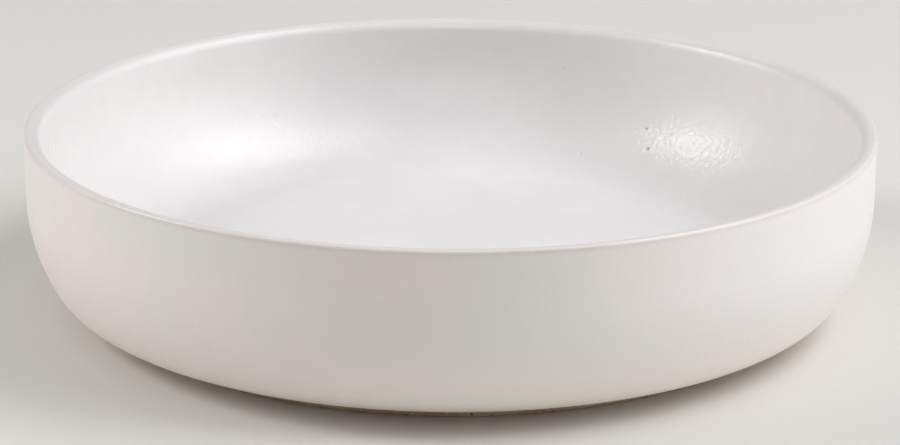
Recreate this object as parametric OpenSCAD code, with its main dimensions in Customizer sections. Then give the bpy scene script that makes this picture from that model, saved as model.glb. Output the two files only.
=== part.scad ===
// Low stoneware dinner bowl: a steep wall over a rounded heel, a lip that is eased inside and crisp
// outside, and a foot ring set in under the floor. It is made of the fired clay and four coats of glaze: one
// inside, one outside, a thin one over the lip and one on the recessed underside. Each coat lies
// on the clay face to face. The origin is on the axis, on the surface that the bowl stands on.

/* [Bowl] */
// Outside diameter at the rim
rim_d = 220; // [204:1:250]
// Height from the table to the top of the lip
bowl_h = 49.2; // [46:0.2:60]
// Thickness of the wall at the lip
lip_t = 4.2; // [3.4:0.1:5.4]
// Rounding of the outer edge of the lip, where the glaze runs thin
lip_edge_r = 0.8; // [0.7:0.1:1.1]
// Width of the level crown of the lip, between the outer edge and the round of the inner side
lip_crown_w = 0.4; // [0.2:0.1:1]
// Thickness of the floor, both coats of glaze included
floor_t = 6; // [4.5:0.5:7.5]

/* [Outside curve] */
// Radius of the long curve below the upright band of the wall
belly_r = 45; // [40:1:55]
// Radius of the tight curve that turns under into the underside
heel_r = 13.5; // [8:0.5:15]
// How far the long curve turns before the heel takes over, in degrees
belly_turn = 29.8; // [20:0.2:34]

/* [Inside curve] */
// Radius of the long curve inside, below the lip
hollow_r = 36; // [30:1:40]
// Radius of the cove between that curve and the floor
cove_r = 17; // [10:0.5:20]
// How far the long inside curve turns before the cove takes over, in degrees
hollow_turn = 48; // [40:1:54]

/* [Foot ring] */
// How far the foot ring is set in from where the heel curve ends on the flat underside
foot_inset = 4.4; // [3:0.2:20]
// Width of the foot ring
foot_w = 5; // [4:0.5:9]
// Height of the underside above the table
foot_h = 4; // [2.5:0.25:6]
// Rounding of the two edges that the bowl stands on
foot_edge_r = 1; // [0.4:0.1:1.5]

/* [Glaze] */
// Thickness of every coat of glaze
glaze_t = 0.4; // [0.2:0.05:0.6]
// Width of the band of bare clay wiped clean on each side of the foot ring
wiped_w = 1.2; // [0.6:0.1:2.5]

/* [Hidden] */
$fn = 128;

clay_colour = [0.72, 0.60, 0.47];
liner_colour = [0.91, 0.91, 0.93];
outer_colour = [0.87, 0.84, 0.80];
lip_colour = [0.85, 0.77, 0.66];
base_colour = [0.84, 0.81, 0.77];

// How far a cut runs past what it cuts
overrun = 1;
// Reach of the wedge that cuts a slice of a disc, as a share of the disc's radius
wedge_share = 2;
// Directions in a half section: away from the axis, straight down, towards the axis and straight up
away = [1, 0];
plumb = [0, -1];
inwards = -away;
upright = -plumb;

rim_r = rim_d / 2;

// Lip: the round of its inner side, the height at which it starts, and the centres of its two rounds
lip_ease_r = lip_t - lip_edge_r - lip_crown_w;
lip_base = bowl_h - lip_ease_r;
ease_c = [rim_r - lip_t + lip_ease_r, lip_base];
edge_c = [rim_r - lip_edge_r, bowl_h - lip_edge_r];

// Least height of the upright wall below the lip, where a low bowl leaves the curves less room
upright_min = 1;
curve_top = lip_base - upright_min;

// Outside: the centres of the two curves, as distance from the axis and height
heel_z = foot_h + heel_r;
belly_step = belly_r - heel_r;
belly_rise = min(belly_step * sin(belly_turn), curve_top - heel_z);
belly_c = [rim_r - belly_r, heel_z + belly_rise];
heel_c = [belly_c[0] + sqrt(pow(belly_step, 2) - pow(belly_rise, 2)), heel_z];

// Inside: the same for the hollow and the cove
floor_z = foot_h + floor_t;
cove_z = floor_z + cove_r;
hollow_step = hollow_r - cove_r;
hollow_rise = min(hollow_step * sin(hollow_turn), curve_top - cove_z);
hollow_c = [rim_r - lip_t - hollow_r, cove_z + hollow_rise];
cove_c = [hollow_c[0] + sqrt(pow(hollow_step, 2) - pow(hollow_rise, 2)), cove_z];

// Foot ring and the bare clay beside it
foot_r = heel_c[0] - foot_inset;
foot_inner_r = foot_r - foot_w;
foot_root_z = foot_h + floor_t / 2;
wiped_outer_r = foot_r + wiped_w;
wiped_inner_r = foot_inner_r - wiped_w;

// Slice of a disc between two directions
module slice(centre, radius, from, to) {
    reach = radius * wedge_share;
    translate(centre)
        intersection() {
            circle(r = radius);
            polygon([[0, 0], reach * from, reach * to]);
        }
}

// Disc, less what would stand above a height
module disc_below(centre, radius, top_z) {
    reach = radius + overrun;
    intersection() {
        translate(centre)
            circle(r = radius);
        translate(centre - [reach, reach])
            square([2 * reach, reach + top_z - centre[1]]);
    }
}

// Half section filled from the axis out to a long curve that runs on into a tight one. The disc of
// the tight curve lies inside the long one, so only the long one is cut to a slice.
module filled(long_c, long_r, tight_c, tight_r, top_z) {
    low_z = tight_c[1] - tight_r;
    translate([0, low_z])
        square([tight_c[0], top_z - low_z]);
    disc_below(tight_c, tight_r, top_z);
    slice(long_c, long_r, away, (tight_c - long_c) / norm(tight_c - long_c));
    translate([0, long_c[1]])
        square([long_c[0] + long_r, top_z - long_c[1]]);
}

// Everything inside the outer surface, less a skin, up to a height
module outside(skin, top_z) {
    filled(belly_c, belly_r - skin, heel_c, heel_r - skin, top_z);
}

// The hollow of the bowl, deepened by a skin, up to a height
module hollow(skin, top_z) {
    filled(hollow_c, hollow_r + skin, cove_c, cove_r + skin, top_z);
}

// Section of the lip from its start up, less a skin
module lip_section(skin) {
    ease_r = lip_ease_r - skin;
    edge_r = lip_edge_r - skin;
    slice(ease_c, ease_r, upright, inwards);
    translate(edge_c)
        circle(r = edge_r);
    translate(ease_c)
        square([edge_c[0] - ease_c[0], ease_r]);
    translate(ease_c)
        square([rim_r - skin - ease_c[0], edge_c[1] - lip_base]);
}

// Section of the foot ring, with its two resting edges rounded
module foot_section() {
    edge_in = foot_inner_r + foot_edge_r;
    edge_out = foot_r - foot_edge_r;
    translate([foot_inner_r, foot_edge_r])
        square([foot_w, foot_root_z - foot_edge_r]);
    translate([edge_in, 0])
        square([edge_out - edge_in, foot_edge_r]);
    slice([edge_out, foot_edge_r], foot_edge_r, away, plumb);
    slice([edge_in, foot_edge_r], foot_edge_r, plumb, inwards);
}

// Fired stoneware: floor, wall, core of the lip and foot ring in one piece
module clay_body() {
    color(clay_colour)
        rotate_extrude() {
            difference() {
                outside(glaze_t, lip_base);
                hollow(glaze_t, lip_base + overrun);
            }
            lip_section(glaze_t);
            foot_section();
        }
}

// Coat poured inside, from the floor up to the start of the lip
module liner_glaze() {
    color(liner_colour)
        rotate_extrude()
            difference() {
                hollow(glaze_t, lip_base);
                hollow(0, lip_base + overrun);
            }
}

// Coat outside, from the start of the lip round the heel to the wiped band by the foot ring
module outer_glaze() {
    color(outer_colour)
        rotate_extrude()
            difference() {
                outside(0, lip_base);
                outside(glaze_t, lip_base + overrun);
                translate([0, foot_h - overrun])
                    square([wiped_outer_r, glaze_t + 2 * overrun]);
            }
}

// Thin coat over the lip, where the colour of the clay comes through along the outer edge
module lip_glaze() {
    color(lip_colour)
        rotate_extrude()
            difference() {
                lip_section(0);
                lip_section(glaze_t);
            }
}

// Coat on the underside, inside the foot ring
module base_glaze() {
    color(base_colour)
        translate([0, 0, foot_h])
            cylinder(r = wiped_inner_r, h = glaze_t);
}

clay_body();
liner_glaze();
outer_glaze();
lip_glaze();
base_glaze();
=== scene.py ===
import math

import bpy
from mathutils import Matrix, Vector


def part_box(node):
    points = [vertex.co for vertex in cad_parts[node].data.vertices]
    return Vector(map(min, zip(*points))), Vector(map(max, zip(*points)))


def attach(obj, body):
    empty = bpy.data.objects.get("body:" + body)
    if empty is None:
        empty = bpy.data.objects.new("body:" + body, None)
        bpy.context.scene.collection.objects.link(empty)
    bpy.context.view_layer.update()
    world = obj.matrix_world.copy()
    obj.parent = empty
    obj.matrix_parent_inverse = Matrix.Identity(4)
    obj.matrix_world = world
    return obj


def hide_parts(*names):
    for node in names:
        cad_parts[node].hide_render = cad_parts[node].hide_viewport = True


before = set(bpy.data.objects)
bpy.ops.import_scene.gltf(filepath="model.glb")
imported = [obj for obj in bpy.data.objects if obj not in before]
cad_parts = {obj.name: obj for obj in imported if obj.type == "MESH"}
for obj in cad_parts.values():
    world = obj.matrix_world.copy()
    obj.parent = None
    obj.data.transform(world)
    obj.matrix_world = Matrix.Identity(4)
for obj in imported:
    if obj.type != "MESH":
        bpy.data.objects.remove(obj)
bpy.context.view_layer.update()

print("frame loaded")

mm = 0.001

# The bowl's curves. Places that the frame knows are read from it below.
bowl = {
    "bellyRadius": 45 * mm,  # long curve of the outside
    "heelRadius": 13.5 * mm,  # tight curve that turns under
    "bellyTurn": math.radians(29.8),
    "hollowRadius": 36 * mm,  # long curve of the inside
    "coveRadius": 17 * mm,  # curve between that and the floor
    "hollowTurn": math.radians(48),
    "lipThickness": 4.2 * mm,
    "lipEdge": 0.8 * mm,  # rounding of the lip's outer edge
    "lipEase": 3 * mm,  # and of its inner side
    "footInset": 4.4 * mm,
    "footWidth": 5 * mm,
    "footEdge": 1 * mm,  # rounding of the two edges that the bowl stands on
}

# How finely the curves are drawn
wheel = {
    "roundSteps": 320,  # steps once round the axis
    "straightStep": 1.6 * mm,  # length of a step along a straight stretch
    "curveStep": 0.8 * mm,  # along a large curve
    "fineStep": 0.12 * mm,  # along the small rounds of the lip, the foot and the ends of the coats
    "leastSteps": 6,
    "weld": 0.01 * mm,
    "smoothAngle": math.radians(40),
}


# Point of a section, by distance from the axis and height
def at(r, z):
    return Vector((r, 0, z))


lipLow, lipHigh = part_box("lip_glaze")
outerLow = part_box("outer_glaze")[0]
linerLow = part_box("liner_glaze")[0]
baseLow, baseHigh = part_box("base_glaze")
rimRadius = lipHigh.x
lipBase = lipLow.z  # where the lip starts
lipTop = lipBase + bowl["lipEase"]
innerRadius = rimRadius - bowl["lipThickness"]
coat = baseHigh.z - baseLow.z  # thickness of the glaze
under = outerLow.z  # height of the underside
floorTop = linerLow.z + coat
wipedInner = baseHigh.x

# Centres of the curves
heelStep = bowl["bellyRadius"] - bowl["heelRadius"]
heelHeight = under + bowl["heelRadius"]
belly = at(rimRadius - bowl["bellyRadius"], heelHeight + heelStep * math.sin(bowl["bellyTurn"]))
heel = at(belly.x + heelStep * math.cos(bowl["bellyTurn"]), heelHeight)
coveStep = bowl["hollowRadius"] - bowl["coveRadius"]
coveHeight = floorTop + bowl["coveRadius"]
hollow = at(innerRadius - bowl["hollowRadius"], coveHeight + coveStep * math.sin(bowl["hollowTurn"]))
cove = at(hollow.x + coveStep * math.cos(bowl["hollowTurn"]), coveHeight)
easeCentre = at(innerRadius + bowl["lipEase"], lipBase)
edgeCentre = at(rimRadius - bowl["lipEdge"], lipTop - bowl["lipEdge"])

footOuter = heel.x - bowl["footInset"]
footInner = footOuter - bowl["footWidth"]
wipedOuter = footOuter + footInner - wipedInner  # the wiped bands are equally wide


# A path lists points, and between two points the centre of their arc, or None for a straight line.
# The skin is how deep below the surface of the bowl it runs.
def outsidePath(skin):
    turned = at(math.cos(bowl["bellyTurn"]), -math.sin(bowl["bellyTurn"]))
    return [
        at(rimRadius - skin, lipBase), None,
        at(rimRadius - skin, belly.z), belly,
        belly + turned * (bowl["bellyRadius"] - skin), heel,
        at(heel.x, under + skin),
    ]


def insidePath(skin):
    turned = at(math.cos(bowl["hollowTurn"]), -math.sin(bowl["hollowTurn"]))
    return [
        at(0, floorTop - skin), None,
        at(cove.x, floorTop - skin), cove,
        hollow + turned * (bowl["hollowRadius"] + skin), hollow,
        at(innerRadius + skin, hollow.z), None,
        at(innerRadius + skin, lipBase),
    ]


def lipPath(skin):
    return [
        at(innerRadius + skin, lipBase), easeCentre,
        at(easeCentre.x, lipTop - skin), None,
        at(edgeCentre.x, lipTop - skin), edgeCentre,
        at(rimRadius - skin, edgeCentre.z), None,
        at(rimRadius - skin, lipBase),
    ]


# Draws a path as a pen would in edit mode
def drawSection(name, path):
    bpy.ops.object.select_all(action="DESELECT")
    bpy.ops.mesh.primitive_plane_add(size=mm, location=path[0])
    piece = bpy.context.object
    piece.name = name
    bpy.ops.object.mode_set(mode="EDIT")
    bpy.ops.mesh.select_all(action="SELECT")
    bpy.ops.mesh.merge(type="CENTER")
    for here, centre, there in zip(path[::2], path[1::2], path[2::2]):
        if centre is None:
            steps = math.ceil((there - here).length / wheel["straightStep"])
            for _ in range(steps):
                bpy.ops.mesh.extrude_region_move(TRANSFORM_OT_translate={"value": (there - here) / steps})
        else:
            fromAngle = math.atan2(here.z - centre.z, here.x - centre.x)
            toAngle = math.atan2(there.z - centre.z, there.x - centre.x)
            turn = math.remainder(toAngle - fromAngle, 2 * math.pi)
            radius = (here - centre).length
            step = wheel["fineStep"] if radius <= bowl["lipEase"] else wheel["curveStep"]
            steps = max(wheel["leastSteps"], round(radius * abs(turn) / step))
            bpy.ops.mesh.spin(steps=steps, angle=turn, center=centre, axis=(0, 1, 0))
    bpy.ops.object.mode_set(mode="OBJECT")
    bpy.ops.object.transform_apply(location=True, rotation=True, scale=True)
    return piece


# Turns a drawn section once round the axis
def throwOnWheel(name, path):
    piece = drawSection(name, path)
    bpy.ops.object.modifier_add(type="SCREW")
    turning = piece.modifiers[-1]
    turning.steps = wheel["roundSteps"]
    turning.render_steps = wheel["roundSteps"]
    turning.use_merge_vertices = True
    turning.merge_threshold = wheel["weld"]
    bpy.ops.object.modifier_apply(modifier=turning.name)
    bpy.ops.object.mode_set(mode="EDIT")
    bpy.ops.mesh.select_all(action="SELECT")
    bpy.ops.mesh.remove_doubles(threshold=wheel["weld"])
    bpy.ops.mesh.normals_make_consistent(inside=False)
    bpy.ops.object.mode_set(mode="OBJECT")
    bpy.ops.object.shade_smooth_by_angle(angle=wheel["smoothAngle"])
    return piece


def dress(piece, node, material):
    piece.data.materials.append(material)
    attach(piece, "root")
    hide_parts(node)


# Screen colour (sRGB), 0 to 255, as a linear colour
def screen(red, green, blue):
    def linear(value):
        value /= 255
        return value / 12.92 if value <= 0.04045 else ((value + 0.055) / 1.055) ** 2.4
    return (linear(red), linear(green), linear(blue), 1)


# Place on the bowl by direction round the axis in degrees, distance from it and height, in millimetres
def spot(azimuth, r, z):
    turn = math.radians(azimuth)
    return Vector((math.cos(turn) * r, math.sin(turn) * r, z)) * mm


def put(tree, kind, inputs=None, **settings):
    node = tree.nodes.new("ShaderNode" + kind)
    for key, value in settings.items():
        setattr(node, key, value)
    for key, value in (inputs or {}).items():
        if isinstance(value, bpy.types.NodeSocket):
            tree.links.new(value, node.inputs[key])
        else:
            node.inputs[key].default_value = value
    return node


def newMaterial(name):
    material = bpy.data.materials.new(name)
    material.use_nodes = True
    material.node_tree.nodes.clear()
    return material


# A shared node group: its tree, the values that it is given, and where its results go
def newGroup(name, inputs, outputs):
    tree = bpy.data.node_groups.new(name, "ShaderNodeTree")
    for key in inputs:
        tree.interface.new_socket(name=key, in_out="INPUT", socket_type="NodeSocketFloat")
    for key, kind in outputs.items():
        tree.interface.new_socket(name=key, in_out="OUTPUT", socket_type="NodeSocket" + kind)
    given = tree.nodes.new("NodeGroupInput").outputs
    result = tree.nodes.new("NodeGroupOutput").inputs
    return tree, given, result


# Results of a shared node group, placed in a tree with a material's own values
def useGroup(tree, group, values):
    return put(tree, "Group", values, node_tree=group).outputs


def coordinates(tree):
    return put(tree, "TexCoord").outputs["Object"]


def parts(tree, where):
    return put(tree, "SeparateXYZ", {0: where}).outputs


# Carries a value from one range to another, held at both ends
def ranged(tree, value, low, high, toLow=0, toHigh=1):
    node = put(tree, "MapRange", {
        "Value": value, "From Min": low, "From Max": high, "To Min": toLow, "To Max": toHigh,
    }, interpolation_type="SMOOTHSTEP")
    return node.outputs["Result"]


def noise(tree, where, scale, detail=1):
    return put(tree, "TexNoise", {"Vector": where, "Scale": scale, "Detail": detail}).outputs["Fac"]


# Noise as clouds, with clear ground below one level and full cloud above another
def clouds(tree, where, scale, detail, low, high, clear=0, full=1):
    return ranged(tree, noise(tree, where, scale, detail), low, high, clear, full)


def maths(tree, operation, first, second=0):
    return put(tree, "Math", {0: first, 1: second}, operation=operation).outputs[0]


def blend(tree, share, first, second, way="MIX"):
    node = put(tree, "Mix", {"Factor": share, 6: first, 7: second}, data_type="RGBA", blend_type=way)
    return node.outputs[2]


def bump(tree, height, depth=1):
    return put(tree, "Bump", {"Strength": 1, "Distance": depth, "Height": height}).outputs["Normal"]


# One within a distance of a place, fading to nothing
def near(tree, where, place, reach, fade):
    away = put(tree, "VectorMath", {0: where, 1: place}, operation="DISTANCE").outputs["Value"]
    return ranged(tree, away, reach, fade, 1, 0)


# What all coats of glaze share. Scales are features per metre.
glaze = {
    "grainScale": 800,  # grains of the orange peel
    "grainDepth": 0.035 * mm,
    "swellScale": 120,
    "swellDepth": 0.03 * mm,
    "fineScale": 2400,
    "fineDepth": 0.01 * mm,
    "sheen": {"scale": 620, "detail": 1, "low": 0.36, "high": 0.64},
    "peelScale": 820,  # the glassy top of the glaze lies in finer, steeper waves
    "peelDetail": 0.5,
    "peelDepth": 0.19 * mm,
    "glassRoughness": 0.2,
    "ior": 1.5,
    "thinTan": screen(222, 205, 190),  # where the coat lies thin and the clay comes through
}


# Fine relief of a satin glaze, grains about a millimetre wide on a slow swell, and its sheen, which
# wanders between two values of roughness
def makeGlazeSkin():
    outputs = {"Normal": "Vector", "Roughness": "Float"}
    tree, given, result = newGroup("glazeSkin", ["Relief", "Satin", "Dull"], outputs)
    where = coordinates(tree)
    grain = maths(tree, "MULTIPLY", noise(tree, where, glaze["grainScale"]), glaze["grainDepth"])
    swell = maths(tree, "MULTIPLY", noise(tree, where, glaze["swellScale"]), glaze["swellDepth"])
    fine = maths(tree, "MULTIPLY", noise(tree, where, glaze["fineScale"]), glaze["fineDepth"])
    height = maths(tree, "ADD", maths(tree, "ADD", grain, swell), fine)
    height = maths(tree, "MULTIPLY", height, given["Relief"])
    tree.links.new(bump(tree, height), result["Normal"])
    sheen = clouds(tree, where, **glaze["sheen"], clear=given["Satin"], full=given["Dull"])
    tree.links.new(sheen, result["Roughness"])
    return tree


# Satin glaze of a given colour, with a share of a glassy top that lies in waves of its own
def finishGlaze(material, colour, glass, skinValues):
    tree = material.node_tree
    skin = useGroup(tree, glazeSkin, skinValues)
    waves = noise(tree, coordinates(tree), glaze["peelScale"], glaze["peelDetail"])
    shader = put(tree, "BsdfPrincipled", {
        "Base Color": colour,
        "Roughness": skin["Roughness"],
        "IOR": glaze["ior"],
        "Normal": skin["Normal"],
        "Coat Weight": glass,
        "Coat Roughness": glaze["glassRoughness"],
        "Coat Normal": bump(tree, waves, glaze["peelDepth"]),
    })
    put(tree, "OutputMaterial", {"Surface": shader.outputs["BSDF"]})
    return material


specks = {
    "colour": screen(120, 104, 92),
    "cells": 70,  # cells per metre, each with one speck at most
    "core": 0.012,  # share of a cell that a speck fills, and where it has faded
    "fade": 0.03,
    "rare": 0.55,  # share of the cells that stay empty, and from where the specks are dark
    "dark": 0.8,
    "strength": 0.7,
    "placed": (  # the ones that are seen from the front
        (spot(54.95, 97.9, 18.6), 0.44 * mm),
        (spot(56.5, 101.1, 23.3), 0.3 * mm),
        (spot(66.7, 94.6, 15), 0.16 * mm),
        (spot(72.1, 105.5, 36.6), 0.16 * mm),
    ),
    "placedCore": 0.4,  # shares of a placed speck's size
    "placedFade": 1.6,
    "placedStrength": 0.75,
}


# A few iron specks that have come through the glaze
def makeIronSpecks():
    tree, given, result = newGroup("ironSpecks", ["Strength"], {"Mask": "Float"})
    where = coordinates(tree)
    cells = put(tree, "TexVoronoi", {"Vector": where, "Scale": specks["cells"], "Randomness": 1}).outputs
    lot = put(tree, "SeparateColor", {"Color": cells["Color"]}).outputs[0]
    body = ranged(tree, cells["Distance"], specks["core"], specks["fade"], 1, 0)
    chosen = ranged(tree, lot, specks["rare"], specks["dark"], 0, specks["strength"])
    mask = maths(tree, "MULTIPLY", body, chosen)
    for place, size in specks["placed"]:
        speck = near(tree, where, place, size * specks["placedCore"], size * specks["placedFade"])
        speck = maths(tree, "MULTIPLY", speck, specks["placedStrength"])
        mask = maths(tree, "MAXIMUM", mask, speck)
    tree.links.new(maths(tree, "MULTIPLY", mask, given["Strength"]), result["Mask"])
    return tree


glazeSkin = makeGlazeSkin()
ironSpecks = makeIronSpecks()


liner = {
    "white": screen(235, 231, 230),
    "shade": screen(229, 225, 224),
    "broad": {"scale": 22, "detail": 3, "low": 0.3, "high": 0.7},
    "mottle": {"scale": 210, "detail": 2, "low": 0.3, "high": 0.7},
    "tone": {"Mottle": 0.35},
    "specks": {"Strength": 1},
    "skin": {"Relief": 1, "Satin": 0.42, "Dull": 0.52},
    "glass": 0.45,  # share of the glassy top on the wall
    "floorGlass": 0.1,  # on the floor
    "glassFrom": 1 * mm,  # above the floor, where the share starts to rise
    "glassTo": 7 * mm,
}


# Cool white of the inside, with faint clouds
def makeLinerTone():
    tree, given, result = newGroup("linerTone", ["Mottle"], {"Color": "Color"})
    where = coordinates(tree)
    tone = blend(tree, clouds(tree, where, **liner["broad"]), liner["white"], liner["shade"])
    mottle = clouds(tree, where, **liner["mottle"], full=given["Mottle"])
    tone = blend(tree, mottle, tone, liner["shade"])
    tree.links.new(tone, result["Color"])
    return tree


linerTone = makeLinerTone()


def linerSatin():
    material = newMaterial("linerSatin")
    tree = material.node_tree
    tone = useGroup(tree, linerTone, liner["tone"])["Color"]
    mask = useGroup(tree, ironSpecks, liner["specks"])["Mask"]
    colour = blend(tree, mask, tone, specks["colour"])
    height = parts(tree, coordinates(tree))["Z"]
    glass = ranged(tree, height, floorTop + liner["glassFrom"], floorTop + liner["glassTo"],
                   liner["floorGlass"], liner["glass"])
    return finishGlaze(material, colour, glass, liner["skin"])


def makeLiner():
    path = insidePath(0) + [None] + insidePath(coat)[::-1]
    piece = throwOnWheel("linerGlaze", path)
    dress(piece, "liner_glaze", linerSatin())


outer = {
    "pink": screen(241, 231, 228),
    "beige": screen(234, 231, 226),
    # painted cool light: the right side, where the right lamps fall, is painted a cooler grey
    "paintedCoolLight": screen(236, 232, 232),
    "paintedCoolLightReach": 100 * mm,  # how far to the right of the axis the painted cool light is full
    "broad": {"scale": 26, "detail": 3, "low": 0.35, "high": 0.65},
    "mottle": {"scale": 190, "detail": 2, "low": 0.3, "high": 0.7},
    "tone": {"Mottle": 0.3},
    "skin": {"Relief": 1, "Satin": 0.42, "Dull": 0.52},
    "paintedBounce": screen(244, 237, 229),  # painted bounce light from the table, lighter and warmer low on the wall
    "lowFrom": 10 * mm,
    "lowTo": 30 * mm,
    "lowShare": 0.9,
    "lowScale": 30,
    "lowWander": 8 * mm,  # how much the upper limit of that wanders up and down
    "pinhole": screen(246, 243, 238),
    "pinholePlace": spot(-123.3, 109.1, 25.6),
    "pinholeCore": 0.15 * mm,
    "pinholeFade": 0.7 * mm,
    "glass": 0.12,
    "runOut": 1.6 * mm,  # width of the tan band where the coat ends beside the foot
}


# Warm white of the outside: pink and beige clouds, with painted cool light greying the right side and
# painted bounce light, lighter and warmer, low on the wall
def makeOuterToneWithPaintedLight():
    tree, given, result = newGroup("outerToneWithPaintedLight", ["Mottle"], {"Color": "Color"})
    where = coordinates(tree)
    x, _, height = parts(tree, where)
    tone = blend(tree, clouds(tree, where, **outer["broad"]), outer["pink"], outer["beige"])
    # painted cool light: the wall turns greyer towards the right side
    tone = blend(tree, ranged(tree, x, 0, outer["paintedCoolLightReach"]), tone, outer["paintedCoolLight"])
    # painted bounce light: the lower wall is lightened and warmed up to a wandering height, standing in
    # for light from the table
    wander = maths(tree, "MULTIPLY", noise(tree, where, outer["lowScale"]), outer["lowWander"])
    low = ranged(tree, maths(tree, "ADD", height, wander),
                 outer["lowFrom"], outer["lowTo"], outer["lowShare"], 0)
    tone = blend(tree, low, tone, outer["paintedBounce"])
    mottle = clouds(tree, where, **outer["mottle"], full=given["Mottle"])
    tone = blend(tree, mottle, tone, outer["beige"])
    hole = near(tree, where, outer["pinholePlace"], outer["pinholeCore"], outer["pinholeFade"])
    tone = blend(tree, hole, tone, outer["pinhole"])
    tree.links.new(tone, result["Color"])
    return tree


outerToneWithPaintedLight = makeOuterToneWithPaintedLight()


def outerSatin():
    material = newMaterial("outerSatin")
    tree = material.node_tree
    tone = useGroup(tree, outerToneWithPaintedLight, outer["tone"])["Color"]
    out = near(tree, coordinates(tree), (0, 0, under), wipedOuter, wipedOuter + outer["runOut"])
    colour = blend(tree, out, tone, glaze["thinTan"])
    return finishGlaze(material, colour, outer["glass"], outer["skin"])


def makeOuter():
    brink = wipedOuter + coat  # the coat ends in a small round beside the wiped band
    path = outsidePath(0) + [
        None,
        at(brink, under), at(brink, under + coat),
        at(wipedOuter, under + coat), None,
    ]
    path += outsidePath(coat)[::-1] + [None, at(rimRadius, lipBase)]
    piece = throwOnWheel("outerGlaze", path)
    dress(piece, "outer_glaze", outerSatin())


lip = {
    "paintedShade": screen(246, 245, 244),  # painted shade: how much the top of the lip is greyed
    "paintedShadeFrom": 2.1 * mm,  # below the top, where the painted shade starts and where it is full
    "paintedShadeTo": 0.4 * mm,
    "edgeIn": 0.3 * mm,  # how far in from the centre of the edge's round the tan starts
    "edgeOut": 0.5 * mm,  # and how far out it is full
    "edgeFrom": 1.7 * mm,  # below the top, the same
    "edgeTo": 0.5 * mm,
    "broken": {"scale": 420, "detail": 3, "low": 0.4, "high": 0.66, "clear": 0.1, "full": 0.6},
    "stretches": {"scale": 26, "detail": 2, "low": 0.35, "high": 0.6, "clear": 0.25, "full": 1},
    "wholePlace": spot(-89, 109.2, 49),  # the glaze has stayed whole here
    "wholeCore": 7.5 * mm,
    "wholeFade": 9.5 * mm,
    "dullTo": 0.9 * mm,  # below the top, where the outer side is as glassy as the liner
    "skin": {"Relief": 1, "Satin": 0.42, "Dull": 0.52},
}


def lipSatin():
    material = newMaterial("lipSatin")
    tree = material.node_tree
    where = coordinates(tree)
    x, y, height = parts(tree, where)
    flat = put(tree, "CombineXYZ", {"X": x, "Y": y}).outputs[0]
    r = put(tree, "VectorMath", {0: flat}, operation="LENGTH").outputs["Value"]

    # the liner's tone inside and the outer coat's outside, with painted shade greying the top
    inner = useGroup(tree, linerTone, liner["tone"])["Color"]
    outside = ranged(tree, r, easeCentre.x, rimRadius)
    colour = blend(tree, outside, inner, useGroup(tree, outerToneWithPaintedLight, outer["tone"])["Color"])
    # painted shade: the top of the lip is darkened to stand in for shade
    shadedTop = ranged(tree, height, lipTop - lip["paintedShadeFrom"], lipTop - lip["paintedShadeTo"])
    colour = blend(tree, shadedTop, colour, lip["paintedShade"], "MULTIPLY")

    # tan along the crisp edge, where the coat lies thin, broken up along it
    outwards = ranged(tree, r, edgeCentre.x - lip["edgeIn"], edgeCentre.x + lip["edgeOut"])
    upwards = ranged(tree, height, lipTop - lip["edgeFrom"], lipTop - lip["edgeTo"])
    thin = maths(tree, "MULTIPLY", outwards, upwards)
    thin = maths(tree, "MULTIPLY", thin, clouds(tree, where, **lip["broken"]))
    thin = maths(tree, "MULTIPLY", thin, clouds(tree, where, **lip["stretches"]))
    whole = near(tree, where, lip["wholePlace"], lip["wholeCore"], lip["wholeFade"])
    thin = maths(tree, "MULTIPLY", thin, maths(tree, "SUBTRACT", 1, whole))
    colour = blend(tree, thin, colour, glaze["thinTan"])

    # as glassy as the liner over the edge, and as dull as the outer coat where it meets that
    low = ranged(tree, height, lipBase, lipTop - lip["dullTo"], 1, 0)
    dull = maths(tree, "MULTIPLY", outside, low)
    glass = ranged(tree, dull, 0, 1, liner["glass"], outer["glass"])
    return finishGlaze(material, colour, glass, lip["skin"])


def makeLip():
    path = lipPath(0) + [None] + lipPath(coat)[::-1] + [None, at(innerRadius, lipBase)]
    piece = throwOnWheel("lipGlaze", path)
    dress(piece, "lip_glaze", lipSatin())


base = {
    "tanFull": 0.2 * mm,  # in from the edge of the coat, where it is all tan
    "tanOut": 2.2 * mm,  # and where the tan ends
    "specks": {"Strength": 1},
    "skin": {"Relief": 1, "Satin": 0.42, "Dull": 0.52},
}


def baseSatin():
    material = newMaterial("baseSatin")
    tree = material.node_tree
    middle = near(tree, coordinates(tree), (0, 0, under),
                  wipedInner - base["tanOut"], wipedInner - base["tanFull"])
    colour = blend(tree, middle, glaze["thinTan"], useGroup(tree, outerToneWithPaintedLight, outer["tone"])["Color"])
    mask = useGroup(tree, ironSpecks, base["specks"])["Mask"]
    colour = blend(tree, mask, colour, specks["colour"])
    return finishGlaze(material, colour, outer["glass"], base["skin"])


def makeBase():
    brink = wipedInner - coat
    path = [
        at(0, under), None,
        at(brink, under), at(brink, under + coat),
        at(wipedInner, under + coat), None,
        at(0, under + coat),
    ]
    piece = throwOnWheel("baseGlaze", path)
    dress(piece, "base_glaze", baseSatin())


clay = {
    "pale": screen(206, 184, 156),
    "warm": screen(186, 156, 124),
    "broad": {"scale": 60, "detail": 4, "low": 0.3, "high": 0.7},
    "grog": screen(222, 206, 184),
    "grogScale": 900,
    "grogCore": 0.2,  # shares of a grain of grog
    "grogFade": 0.35,
    "grogShare": 0.6,
    "iron": screen(92, 72, 56),
    "ironScale": 420,
    "ironCore": 0.1,
    "ironFade": 0.2,
    "ironShare": 0.8,
    "dry": {"scale": 300, "detail": 2, "low": 0.3, "high": 0.7, "clear": 0.8, "full": 0.92},
    "grainScale": 1500,
    "grainDetail": 4,
    "grainDepth": 0.09 * mm,
    "pitCore": 0.1,
    "pitFade": 0.5,
    "pitDepth": 0.12 * mm,
}


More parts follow.
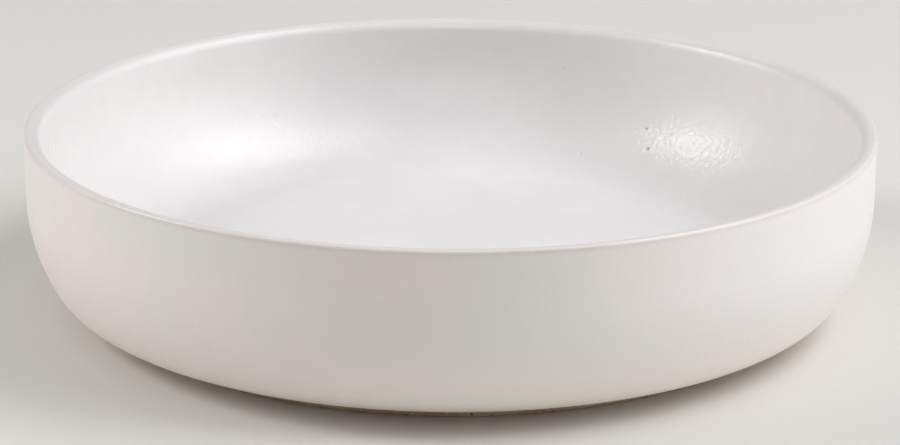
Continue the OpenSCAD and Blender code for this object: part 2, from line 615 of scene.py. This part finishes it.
def bareClay():
    material = newMaterial("bareClay")
    tree = material.node_tree
    where = coordinates(tree)
    colour = blend(tree, clouds(tree, where, **clay["broad"]), clay["pale"], clay["warm"])
    grog = put(tree, "TexVoronoi", {"Vector": where, "Scale": clay["grogScale"]}).outputs["Distance"]
    light = ranged(tree, grog, clay["grogCore"], clay["grogFade"], clay["grogShare"], 0)
    colour = blend(tree, light, colour, clay["grog"])
    iron = put(tree, "TexVoronoi", {"Vector": where, "Scale": clay["ironScale"]}).outputs["Distance"]
    dark = ranged(tree, iron, clay["ironCore"], clay["ironFade"], clay["ironShare"], 0)
    colour = blend(tree, dark, colour, clay["iron"])
    grain = maths(tree, "MULTIPLY", noise(tree, where, clay["grainScale"], clay["grainDetail"]),
                  clay["grainDepth"])
    pits = maths(tree, "MULTIPLY", ranged(tree, grog, clay["pitCore"], clay["pitFade"]), clay["pitDepth"])
    shader = put(tree, "BsdfPrincipled", {
        "Base Color": colour,
        "Roughness": clouds(tree, where, **clay["dry"]),
        "Normal": bump(tree, maths(tree, "ADD", grain, pits)),
    })
    put(tree, "OutputMaterial", {"Surface": shader.outputs["BSDF"]})
    return material


def footPath():
    edge = bowl["footEdge"]
    return [
        at(footInner, under + coat), None,
        at(footInner, edge), at(footInner + edge, edge),
        at(footInner + edge, 0), None,
        at(footOuter - edge, 0), at(footOuter - edge, edge),
        at(footOuter, edge), None,
        at(footOuter, under + coat),
    ]


def makeClay():
    path = [at(0, under + coat), None] + footPath() + [None] + outsidePath(coat)[::-1]
    path += [None] + lipPath(coat)[::-1] + [None] + insidePath(coat)[::-1]
    piece = throwOnWheel("clayBody", path)
    dress(piece, "clay_body", bareClay())


makeLiner()
makeOuter()
makeLip()
makeBase()
print("glazes laid on")
makeClay()
print("clay thrown")


studio = {
    "floorSize": 6,
    "floorColour": screen(224, 221, 215),
    "floorRoughness": 0.7,
    "cameraPlace": (0, -0.880, 0.2985),
    "cameraPitch": math.radians(17.476),
    "cameraRoll": math.radians(0.398),
    "focalLength": 140.9,
    "filmWidth": 36,
    "worldColour": screen(235, 235, 238),
    "worldStrength": 0.15,  # as it lights the bowl
    "worldSeen": 0.65,  # as the camera and reflections see it
    "lampDistance": 1.6,
    "lamps": {  # direction and height in degrees, size in metres, power in watts, colour
        "rightBox": (-6, 50, 1, 14.6, (0.95, 0.97, 1)),
        "rightWall": (-4, 38, 2.2, 9, (1, 0.995, 0.985)),
        "rightLow": (-4, 14, 1, 3.6, (1, 1, 1)),
        "leftBox": (178, 37, 0.5, 8.1, (1, 1, 1)),
        "leftLow": (180, 18, 0.8, 5.5, (1, 1, 1)),
        "frontCard": (270, 25, 0.6, 1.9, (1, 1, 1)),
        "topCard": (270, 86, 1.1, 1.9, (0.86, 0.93, 1)),
    },
}


def makeFloor():
    bpy.ops.object.select_all(action="DESELECT")
    bpy.ops.mesh.primitive_plane_add(size=studio["floorSize"], location=(0, 0, 0))
    floor = bpy.context.object
    floor.name = "floor"
    material = newMaterial("paleFloor")
    tree = material.node_tree
    shader = put(tree, "BsdfPrincipled", {
        "Base Color": studio["floorColour"],
        "Roughness": studio["floorRoughness"],
    })
    put(tree, "OutputMaterial", {"Surface": shader.outputs["BSDF"]})
    floor.data.materials.append(material)


def makeCamera():
    data = bpy.data.cameras.new("camera")
    data.sensor_width = studio["filmWidth"]
    data.lens = studio["focalLength"]
    camera = bpy.data.objects.new("camera", data)
    bpy.context.scene.collection.objects.link(camera)
    camera.location = studio["cameraPlace"]
    camera.rotation_euler = (math.pi / 2 - studio["cameraPitch"], 0, 0)
    camera.rotation_euler.rotate_axis("Z", studio["cameraRoll"])
    bpy.context.scene.camera = camera


# A square lamp that hangs round the bowl and points at it
def makeLamp(name, azimuth, elevation, size, power, colour):
    data = bpy.data.lights.new(name, "AREA")
    data.shape = "SQUARE"
    data.size = size
    data.energy = power
    data.color = colour
    lamp = bpy.data.objects.new(name, data)
    bpy.context.scene.collection.objects.link(lamp)
    turn = math.radians(azimuth)
    rise = math.radians(elevation)
    towards = Vector((math.cos(turn) * math.cos(rise), math.sin(turn) * math.cos(rise), math.sin(rise)))
    lamp.location = towards * studio["lampDistance"]
    lamp.rotation_euler = (-towards).to_track_quat("-Z", "Y").to_euler()


# The pale studio shows to the camera and in reflections at its own brightness, and lights less
def makeWorld():
    world = bpy.data.worlds.new("studio")
    bpy.context.scene.world = world
    world.use_nodes = True
    tree = world.node_tree
    background = tree.nodes["Background"]
    background.inputs["Color"].default_value = studio["worldColour"]
    path = put(tree, "LightPath").outputs
    seen = maths(tree, "MAXIMUM", path["Is Camera Ray"], path["Is Glossy Ray"])
    strength = ranged(tree, seen, 0, 1, studio["worldStrength"], studio["worldSeen"])
    tree.links.new(strength, background.inputs["Strength"])


makeFloor()
makeCamera()
makeWorld()
for name, lamp in studio["lamps"].items():
    makeLamp(name, *lamp)
bpy.context.scene.view_settings.view_transform = "Standard"
print("studio set")
